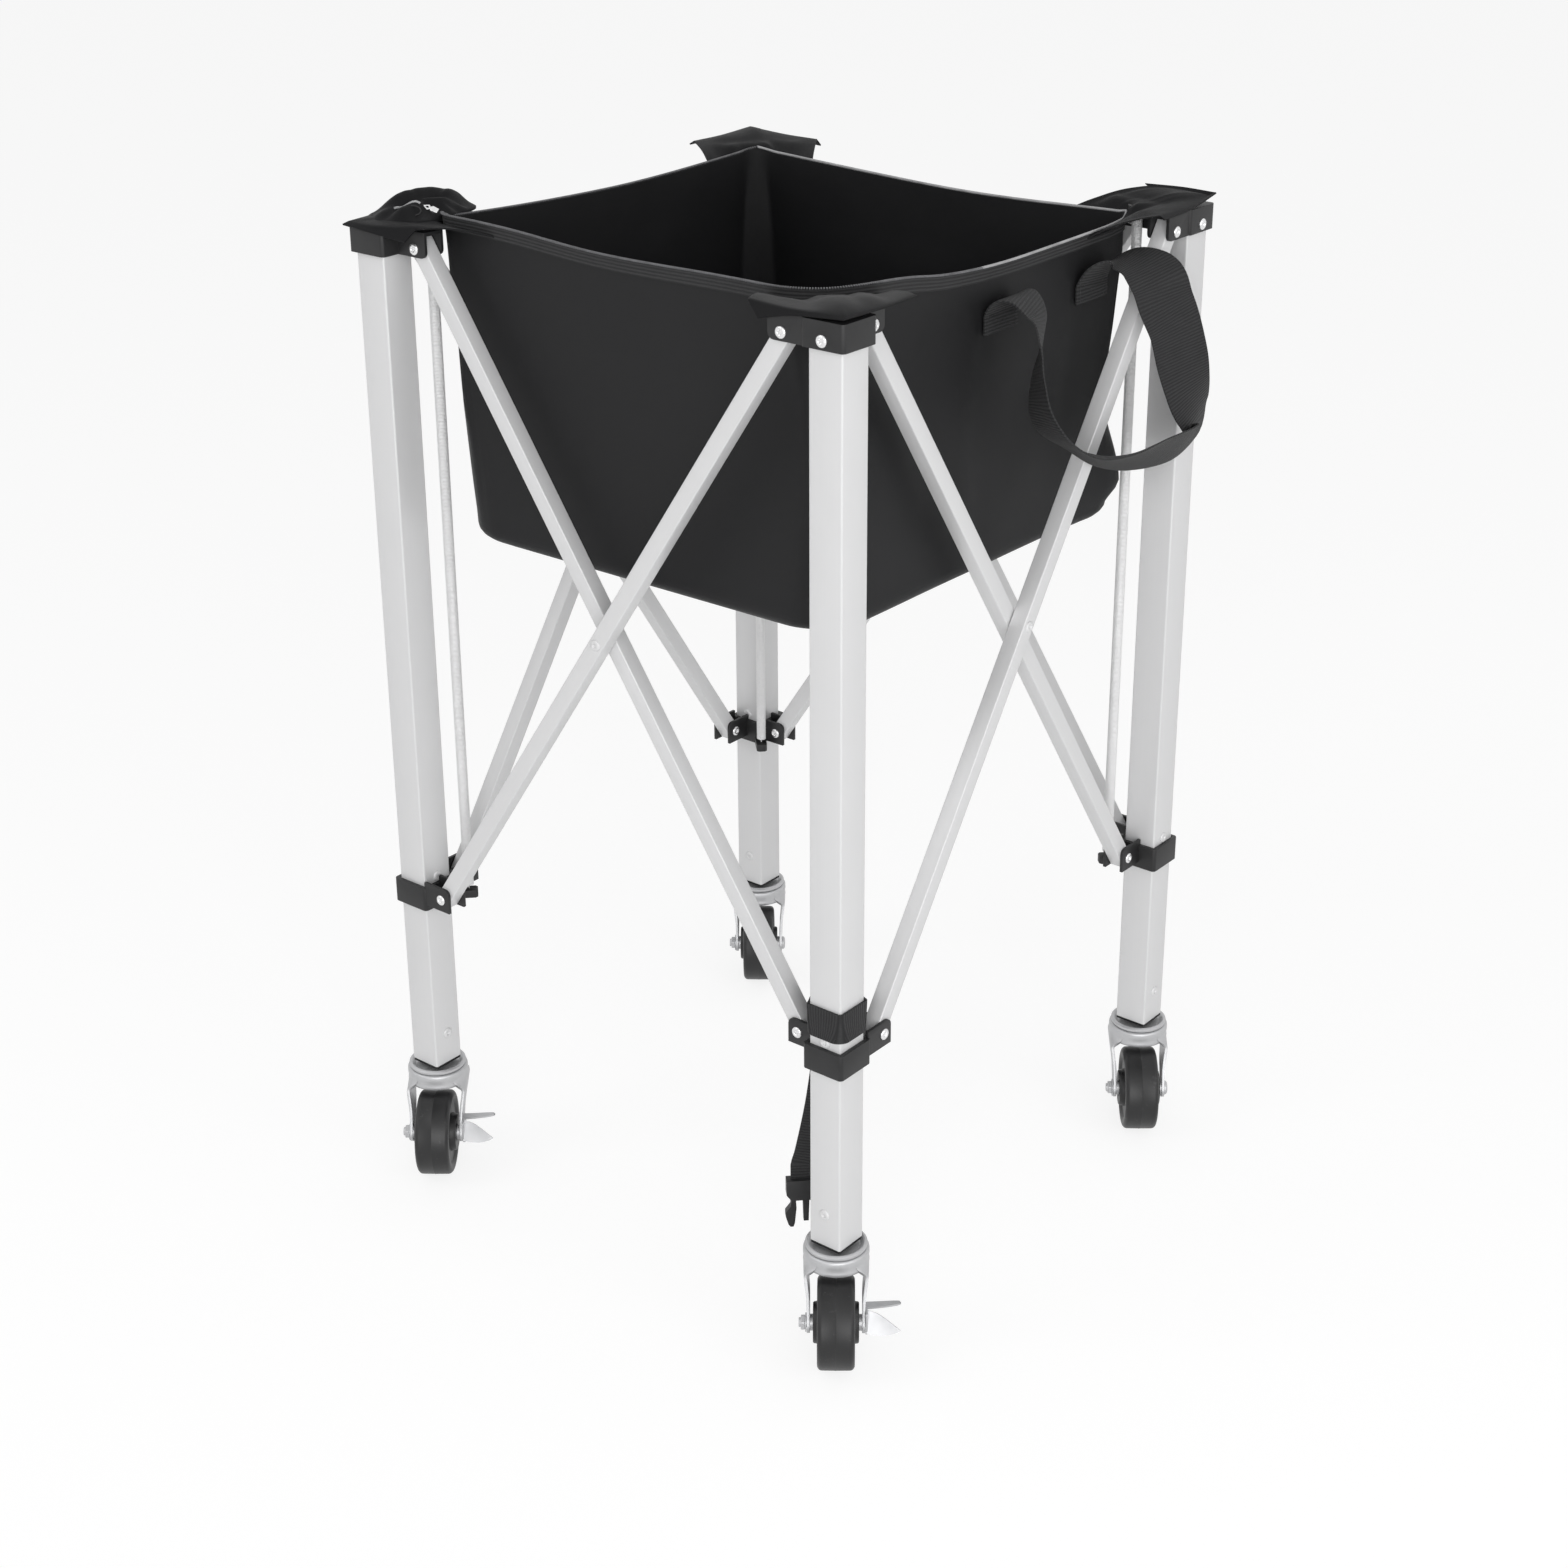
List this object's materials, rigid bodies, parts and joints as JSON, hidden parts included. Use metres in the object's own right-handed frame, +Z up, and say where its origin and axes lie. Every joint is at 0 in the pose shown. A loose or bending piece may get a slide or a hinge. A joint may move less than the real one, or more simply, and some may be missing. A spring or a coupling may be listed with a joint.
{
  "type": "tennis ball cart",
  "caption": "Folding scissor-frame cart on swivel casters, with an open fabric bag for tennis balls, webbing handles and pull-up springs.",
  "frame": {"origin": "on the floor, under the middle of the open frame", "axes": "+Z up; the front leg stands at +X -Y, the left leg at -X -Y, the right leg at +X +Y and the back leg at -X +Y"},
  "size_m": [0.5751, 0.5423, 0.8712],
  "materials": {
    "satin_aluminium": "satin anodised",
    "moulded_black": "moulded",
    "zinc_plate": "bright zinc plate",
    "wheel_black": "smooth moulded",
    "bag_cloth": "smooth coated cloth",
    "webbing": "woven webbing",
    "spring_wire": "drawn wire"
  },
  "bodies": {
    "front_leg": {"leg_front": "satin_aluminium", "top_bracket_front": "moulded_black", "leg_plug_front": "moulded_black", "caster_head_front": "zinc_plate", "spring_front": "spring_wire", "corner_flap_front": "bag_cloth", "ball_bag": "bag_cloth", "zip_chain": "webbing", "handle_right": "webbing", "handle_left": "webbing", "tie_strap": "webbing", "strap_tail": "webbing", "buckle_half": "moulded_black"},
    "right_leg": {"leg_right": "satin_aluminium", "top_bracket_right": "moulded_black", "leg_plug_right": "moulded_black", "caster_head_right": "zinc_plate", "spring_right": "spring_wire", "corner_flap_right": "bag_cloth"},
    "back_leg": {"leg_back": "satin_aluminium", "top_bracket_back": "moulded_black", "leg_plug_back": "moulded_black", "caster_head_back": "zinc_plate", "spring_back": "spring_wire", "corner_flap_back": "bag_cloth"},
    "left_leg": {"leg_left": "satin_aluminium", "top_bracket_left": "moulded_black", "leg_plug_left": "moulded_black", "caster_head_left": "zinc_plate", "spring_left": "spring_wire", "corner_flap_left": "bag_cloth", "lid_roll": "bag_cloth"},
    "outer_strut_front": {"outer_strut_front": "satin_aluminium"},
    "inner_strut_front": {"inner_strut_front": "satin_aluminium"},
    "slider_front": {"slider_front": "moulded_black"},
    "caster_front": {"caster_fork_front": "zinc_plate", "wheel_axle_front": "zinc_plate"},
    "rolling_wheel_front": {"wheel_front": "wheel_black"},
    "outer_strut_right": {"outer_strut_right": "satin_aluminium"},
    "inner_strut_right": {"inner_strut_right": "satin_aluminium"},
    "slider_right": {"slider_right": "moulded_black"},
    "caster_right": {"caster_fork_right": "zinc_plate", "wheel_axle_right": "zinc_plate"},
    "rolling_wheel_right": {"wheel_right": "wheel_black"},
    "outer_strut_back": {"outer_strut_back": "satin_aluminium"},
    "inner_strut_back": {"inner_strut_back": "satin_aluminium"},
    "slider_back": {"slider_back": "moulded_black"},
    "caster_back": {"caster_fork_back": "zinc_plate", "wheel_axle_back": "zinc_plate"},
    "rolling_wheel_back": {"wheel_back": "wheel_black"},
    "outer_strut_left": {"outer_strut_left": "satin_aluminium"},
    "inner_strut_left": {"inner_strut_left": "satin_aluminium"},
    "slider_left": {"slider_left": "moulded_black"},
    "caster_left": {"caster_fork_left": "zinc_plate", "wheel_axle_left": "zinc_plate"},
    "rolling_wheel_left": {"wheel_left": "wheel_black"},
    "brake_lever_front": {"brake_pedal_front": "zinc_plate"},
    "brake_lever_left": {"brake_pedal_left": "zinc_plate"}
  },
  "joints": [
    {"name": "fold", "type": "hinge", "parent": "front_leg", "child": "outer_strut_front", "pos_m": [0.189, -0.2335, 0.835], "axis": [0, -1, 0], "range_deg": [0, 26.5], "stiffness_Nm_per_rad": 6, "springref_deg": -68.75, "deforming": ["spring_front", "spring_right", "spring_back", "spring_left", "ball_bag", "zip_chain", "handle_right", "handle_left", "lid_roll"]},
    {"name": "front_side_crossing", "type": "hinge", "parent": "outer_strut_front", "child": "inner_strut_left", "pos_m": [0, -0.226, 0.555], "axis": [0, 1, 0], "range_deg": [0, 53]},
    {"name": "left_leg_top_pin", "type": "hinge", "parent": "inner_strut_left", "child": "left_leg", "pos_m": [-0.189, -0.2185, 0.835], "axis": [0, -1, 0], "range_deg": [0, 26.5]},
    {"name": "left_slider_pin", "type": "hinge", "parent": "outer_strut_front", "child": "slider_left", "pos_m": [-0.189, -0.2335, 0.275], "axis": [0, 1, 0], "range_deg": [0, 26.5]},
    {"name": "front_slider_pin", "type": "hinge", "parent": "inner_strut_left", "child": "slider_front", "pos_m": [0.189, -0.2185, 0.275], "axis": [0, -1, 0], "range_deg": [0, 26.5]},
    {"name": "front_leg_side_pin", "type": "hinge", "parent": "front_leg", "child": "inner_strut_front", "pos_m": [0.2185, -0.189, 0.835], "axis": [-1, 0, 0], "range_deg": [0, 26.5]},
    {"name": "right_side_crossing", "type": "hinge", "parent": "inner_strut_front", "child": "outer_strut_right", "pos_m": [0.226, 0, 0.555], "axis": [1, 0, 0], "range_deg": [0, 53]},
    {"name": "right_leg_top_pin", "type": "hinge", "parent": "outer_strut_right", "child": "right_leg", "pos_m": [0.2335, 0.189, 0.835], "axis": [-1, 0, 0], "range_deg": [0, 26.5]},
    {"name": "right_slider_pin", "type": "hinge", "parent": "inner_strut_front", "child": "slider_right", "pos_m": [0.2185, 0.189, 0.275], "axis": [1, 0, 0], "range_deg": [0, 26.5]},
    {"name": "left_leg_side_pin", "type": "hinge", "parent": "left_leg", "child": "outer_strut_left", "pos_m": [-0.2335, -0.189, 0.835], "axis": [-1, 0, 0], "range_deg": [0, 26.5]},
    {"name": "left_side_crossing", "type": "hinge", "parent": "outer_strut_left", "child": "inner_strut_back", "pos_m": [-0.226, 0, 0.555], "axis": [1, 0, 0], "range_deg": [0, 53]},
    {"name": "back_leg_top_pin", "type": "hinge", "parent": "inner_strut_back", "child": "back_leg", "pos_m": [-0.2185, 0.189, 0.835], "axis": [-1, 0, 0], "range_deg": [0, 26.5]},
    {"name": "back_slider_pin", "type": "hinge", "parent": "outer_strut_left", "child": "slider_back", "pos_m": [-0.2335, 0.189, 0.275], "axis": [1, 0, 0], "range_deg": [0, 26.5]},
    {"name": "right_leg_side_pin", "type": "hinge", "parent": "right_leg", "child": "inner_strut_right", "pos_m": [0.189, 0.2185, 0.835], "axis": [0, -1, 0], "range_deg": [0, 26.5]},
    {"name": "back_side_crossing", "type": "hinge", "parent": "inner_strut_right", "child": "outer_strut_back", "pos_m": [0, 0.226, 0.555], "axis": [0, 1, 0], "range_deg": [0, 53]},
    {"name": "swivel_front", "type": "hinge", "parent": "front_leg", "child": "caster_front", "pos_m": [0.226, -0.226, 0.085], "axis": [0, 0, 1], "continuous": true},
    {"name": "roll_front", "type": "hinge", "parent": "caster_front", "child": "rolling_wheel_front", "pos_m": [0.24194, -0.24654, 0.0375], "axis": [0.7902, 0.6129, 0], "continuous": true},
    {"name": "swivel_right", "type": "hinge", "parent": "right_leg", "child": "caster_right", "pos_m": [0.226, 0.226, 0.085], "axis": [0, 0, 1], "continuous": true},
    {"name": "roll_right", "type": "hinge", "parent": "caster_right", "child": "rolling_wheel_right", "pos_m": [0.24194, 0.20546, 0.0375], "axis": [0.7902, 0.6129, 0], "continuous": true},
    {"name": "swivel_back", "type": "hinge", "parent": "back_leg", "child": "caster_back", "pos_m": [-0.226, 0.226, 0.085], "axis": [0, 0, 1], "continuous": true},
    {"name": "roll_back", "type": "hinge", "parent": "caster_back", "child": "rolling_wheel_back", "pos_m": [-0.21006, 0.20546, 0.0375], "axis": [0.7902, 0.6129, 0], "continuous": true},
    {"name": "swivel_left", "type": "hinge", "parent": "left_leg", "child": "caster_left", "pos_m": [-0.226, -0.226, 0.085], "axis": [0, 0, 1], "continuous": true},
    {"name": "roll_left", "type": "hinge", "parent": "caster_left", "child": "rolling_wheel_left", "pos_m": [-0.21006, -0.24654, 0.0375], "axis": [0.7902, 0.6129, 0], "continuous": true},
    {"name": "brake_front", "type": "hinge", "parent": "caster_front", "child": "brake_lever_front", "pos_m": [0.24194, -0.24654, 0.0375], "axis": [0.7902, 0.6129, 0], "range_deg": [0, 22]},
    {"name": "brake_left", "type": "hinge", "parent": "caster_left", "child": "brake_lever_left", "pos_m": [-0.21006, -0.24654, 0.0375], "axis": [0.7902, 0.6129, 0], "range_deg": [0, 22]}
  ],
  "couplings": [
    {"joint": "front_side_crossing", "follows": "fold", "ratio": 2},
    {"joint": "left_leg_top_pin", "follows": "fold", "ratio": 1},
    {"joint": "left_slider_pin", "follows": "fold", "ratio": 1},
    {"joint": "front_slider_pin", "follows": "fold", "ratio": 1},
    {"joint": "front_leg_side_pin", "follows": "fold", "ratio": 1},
    {"joint": "right_side_crossing", "follows": "fold", "ratio": 2},
    {"joint": "right_leg_top_pin", "follows": "fold", "ratio": 1},
    {"joint": "right_slider_pin", "follows": "fold", "ratio": 1},
    {"joint": "left_leg_side_pin", "follows": "fold", "ratio": 1},
    {"joint": "left_side_crossing", "follows": "fold", "ratio": 2},
    {"joint": "back_leg_top_pin", "follows": "fold", "ratio": 1},
    {"joint": "back_slider_pin", "follows": "fold", "ratio": 1},
    {"joint": "right_leg_side_pin", "follows": "fold", "ratio": 1},
    {"joint": "back_side_crossing", "follows": "fold", "ratio": 2}
  ]
}
